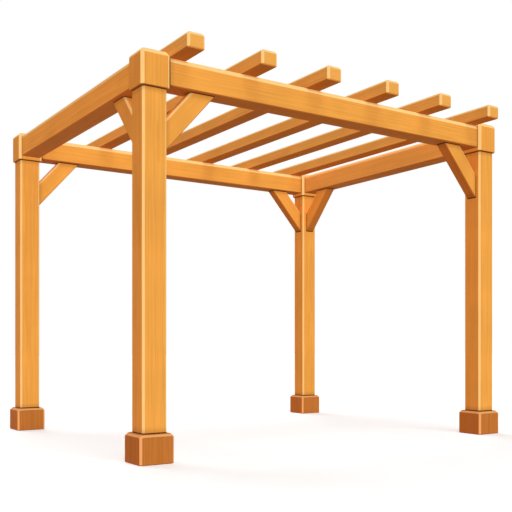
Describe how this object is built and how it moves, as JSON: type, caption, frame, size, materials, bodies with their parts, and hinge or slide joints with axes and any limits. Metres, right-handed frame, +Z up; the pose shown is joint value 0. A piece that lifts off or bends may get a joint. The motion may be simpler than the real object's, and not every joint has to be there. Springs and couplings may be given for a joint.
{
  "type": "garden pergola",
  "caption": "Free-standing wooden pergola: square posts on plinth blocks, beams between post caps, overhanging rafters on top and knee braces.",
  "frame": {"origin": "centre of the plan on the ground, at the underside of the plinths", "axes": "+X along the front beam to the right, +Y along the rafters to the back, +Z up"},
  "size_m": [3.076, 2.82, 2.47],
  "materials": {
    "honey_timber": "satin honey stain",
    "brown_plinth_timber": "satin brown stain"
  },
  "bodies": {
    "root": {"front_left_plinth": "brown_plinth_timber", "front_right_plinth": "brown_plinth_timber", "back_right_plinth": "brown_plinth_timber", "back_left_plinth": "brown_plinth_timber", "front_left_post": "honey_timber", "front_right_post": "honey_timber", "back_right_post": "honey_timber", "back_left_post": "honey_timber", "front_left_cap": "honey_timber", "front_right_cap": "honey_timber", "back_right_cap": "honey_timber", "back_left_cap": "honey_timber", "front_beam": "honey_timber", "right_beam": "honey_timber", "back_beam": "honey_timber", "left_beam": "honey_timber", "front_beam_left_brace": "honey_timber", "front_beam_right_brace": "honey_timber", "back_beam_right_brace": "honey_timber", "back_beam_left_brace": "honey_timber", "left_beam_front_brace": "honey_timber", "right_beam_back_brace": "honey_timber", "rafter_1": "honey_timber", "rafter_2": "honey_timber", "rafter_3": "honey_timber", "rafter_4": "honey_timber", "rafter_5": "honey_timber", "rafter_6": "honey_timber"}
  },
  "joints": []
}
